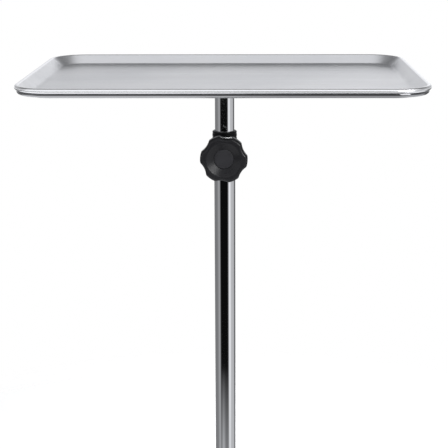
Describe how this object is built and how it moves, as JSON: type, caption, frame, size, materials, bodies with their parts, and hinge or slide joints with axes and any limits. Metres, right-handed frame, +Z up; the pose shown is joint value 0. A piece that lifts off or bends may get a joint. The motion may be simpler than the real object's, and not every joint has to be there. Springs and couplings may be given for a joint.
{
  "type": "instrument cart",
  "caption": "Rolling stand with a lift-out rimmed steel tray on a telescopic chrome column, a lobed clamp knob and a star base on twin-wheel casters.",
  "frame": {"origin": "on the floor, on the column's axis, with the wheels' treads at z = 0", "axes": "+Z up along the column; -Y to the front, where the clamp knob is; +X to the right seen from the front, along the tray's long side"},
  "size_m": [0.5424, 0.5224, 0.83],
  "materials": {
    "tray_steel": "fine satin, brushed along its length",
    "chrome_plate": "bright polished plate",
    "clamp_plastic": "moulded, soft gloss",
    "caster_plastic": "moulded, fine grain",
    "wheel_rubber": "matt grey, non-marking",
    "clamp_brass": "turned",
    "zinc_steel": "zinc plated"
  },
  "bodies": {
    "root": {"column": "chrome_plate", "collar": "clamp_plastic", "collar_rivet": "zinc_steel", "clamp_nut": "clamp_brass", "hub_plate": "chrome_plate", "hub_boss": "chrome_plate", "hub_cover": "chrome_plate", "column_plug": "zinc_steel", "hub_bolt": "zinc_steel", "hub_washer": "zinc_steel", "leg_1": "chrome_plate", "leg_2": "chrome_plate", "leg_3": "chrome_plate", "leg_4": "chrome_plate", "leg_5": "chrome_plate", "leg_bolts": "zinc_steel", "stem_sockets": "zinc_steel", "caster_1_stem": "zinc_steel", "caster_2_stem": "zinc_steel", "caster_3_stem": "zinc_steel", "caster_4_stem": "zinc_steel", "caster_5_stem": "zinc_steel"},
    "mast": {"mast": "chrome_plate", "mast_foot": "caster_plastic", "mast_socket": "chrome_plate", "socket_screw": "zinc_steel", "mount_plate": "chrome_plate", "front_strap": "chrome_plate", "rear_strap": "chrome_plate", "tray_ring": "chrome_plate"},
    "tray": {"tray": "tray_steel"},
    "shoe": {"brake_shoe": "clamp_brass"},
    "knob": {"knob": "clamp_plastic", "knob_cap": "clamp_plastic", "knob_stud": "zinc_steel"},
    "caster_1": {"caster_1_housing": "caster_plastic", "caster_1_axle": "zinc_steel", "brake_pin_1": "zinc_steel"},
    "wheel_1_left": {"wheel_1_left": "wheel_rubber"},
    "wheel_1_right": {"wheel_1_right": "wheel_rubber"},
    "caster_2": {"caster_2_housing": "caster_plastic", "caster_2_axle": "zinc_steel"},
    "wheel_2_left": {"wheel_2_left": "wheel_rubber"},
    "wheel_2_right": {"wheel_2_right": "wheel_rubber"},
    "caster_3": {"caster_3_housing": "caster_plastic", "caster_3_axle": "zinc_steel"},
    "wheel_3_left": {"wheel_3_left": "wheel_rubber"},
    "wheel_3_right": {"wheel_3_right": "wheel_rubber"},
    "caster_4": {"caster_4_housing": "caster_plastic", "caster_4_axle": "zinc_steel", "brake_pin_2": "zinc_steel"},
    "wheel_4_left": {"wheel_4_left": "wheel_rubber"},
    "wheel_4_right": {"wheel_4_right": "wheel_rubber"},
    "caster_5": {"caster_5_housing": "caster_plastic", "caster_5_axle": "zinc_steel"},
    "wheel_5_left": {"wheel_5_left": "wheel_rubber"},
    "wheel_5_right": {"wheel_5_right": "wheel_rubber"},
    "brake_lever_1": {"brake_lever_1": "caster_plastic"},
    "brake_lever_2": {"brake_lever_2": "caster_plastic"}
  },
  "joints": [
    {"name": "mast_slide", "type": "slide", "parent": "root", "child": "mast", "axis": [0, 0, 1], "range_m": [-0.04, 0.4]},
    {"name": "tray_lift", "type": "slide", "parent": "mast", "child": "tray", "axis": [0, 0, 1], "range_m": [0, 0.06]},
    {"name": "shoe_slide", "type": "slide", "parent": "root", "child": "shoe", "axis": [0, -1, 0], "range_m": [0, 0.0019]},
    {"name": "knob_turn", "type": "hinge", "parent": "shoe", "child": "knob", "pos_m": [0, -0.049, 0.722], "axis": [0, -1, 0], "range_deg": [0, 540]},
    {"name": "caster_1_swivel", "type": "hinge", "parent": "root", "child": "caster_1", "pos_m": [0, -0.252, 0.05], "axis": [0, 0, 1], "continuous": true},
    {"name": "wheel_1_left_roll", "type": "hinge", "parent": "caster_1", "child": "wheel_1_left", "pos_m": [-0.01854, -0.24451, 0.025], "axis": [-0.3746, -0.9272, 0], "continuous": true},
    {"name": "wheel_1_right_roll", "type": "hinge", "parent": "caster_1", "child": "wheel_1_right", "pos_m": [-0.01854, -0.24451, 0.025], "axis": [-0.3746, -0.9272, 0], "continuous": true},
    {"name": "caster_2_swivel", "type": "hinge", "parent": "root", "child": "caster_2", "pos_m": [0.23967, -0.07787, 0.05], "axis": [0, 0, 1], "continuous": true},
    {"name": "wheel_2_left_roll", "type": "hinge", "parent": "caster_2", "child": "wheel_2_left", "pos_m": [0.21978, -0.07996, 0.025], "axis": [0.1045, -0.9945, 0], "continuous": true},
    {"name": "wheel_2_right_roll", "type": "hinge", "parent": "caster_2", "child": "wheel_2_right", "pos_m": [0.21978, -0.07996, 0.025], "axis": [0.1045, -0.9945, 0], "continuous": true},
    {"name": "caster_3_swivel", "type": "hinge", "parent": "root", "child": "caster_3", "pos_m": [0.14812, 0.20387, 0.05], "axis": [0, 0, 1], "continuous": true},
    {"name": "wheel_3_left_roll", "type": "hinge", "parent": "caster_3", "child": "wheel_3_left", "pos_m": [0.1328, 0.21673, 0.025], "axis": [-0.6428, -0.766, 0], "continuous": true},
    {"name": "wheel_3_right_roll", "type": "hinge", "parent": "caster_3", "child": "wheel_3_right", "pos_m": [0.1328, 0.21673, 0.025], "axis": [-0.6428, -0.766, 0], "continuous": true},
    {"name": "caster_4_swivel", "type": "hinge", "parent": "root", "child": "caster_4", "pos_m": [-0.14812, 0.20387, 0.05], "axis": [0, 0, 1], "continuous": true},
    {"name": "wheel_4_left_roll", "type": "hinge", "parent": "caster_4", "child": "wheel_4_left", "pos_m": [-0.16788, 0.207, 0.025], "axis": [-0.1564, -0.9877, 0], "continuous": true},
    {"name": "wheel_4_right_roll", "type": "hinge", "parent": "caster_4", "child": "wheel_4_right", "pos_m": [-0.16788, 0.207, 0.025], "axis": [-0.1564, -0.9877, 0], "continuous": true},
    {"name": "caster_5_swivel", "type": "hinge", "parent": "root", "child": "caster_5", "pos_m": [-0.23967, -0.07787, 0.05], "axis": [0, 0, 1], "continuous": true},
    {"name": "wheel_5_left_roll", "type": "hinge", "parent": "caster_5", "child": "wheel_5_left", "pos_m": [-0.25889, -0.08339, 0.025], "axis": [0.2756, -0.9613, 0], "continuous": true},
    {"name": "wheel_5_right_roll", "type": "hinge", "parent": "caster_5", "child": "wheel_5_right", "pos_m": [-0.25889, -0.08339, 0.025], "axis": [0.2756, -0.9613, 0], "continuous": true},
    {"name": "brake_1_press", "type": "hinge", "parent": "caster_1", "child": "brake_lever_1", "pos_m": [-0.04391, -0.23426, 0.04345], "axis": [-0.3746, -0.9272, 0], "range_deg": [0, 9]},
    {"name": "brake_2_press", "type": "hinge", "parent": "caster_4", "child": "brake_lever_2", "pos_m": [-0.1949, 0.21128, 0.04345], "axis": [-0.1564, -0.9877, 0], "range_deg": [0, 9]}
  ],
  "couplings": [
    {"joint": "shoe_slide", "follows": "knob_turn", "m_per_rad": 0.00019894}
  ]
}
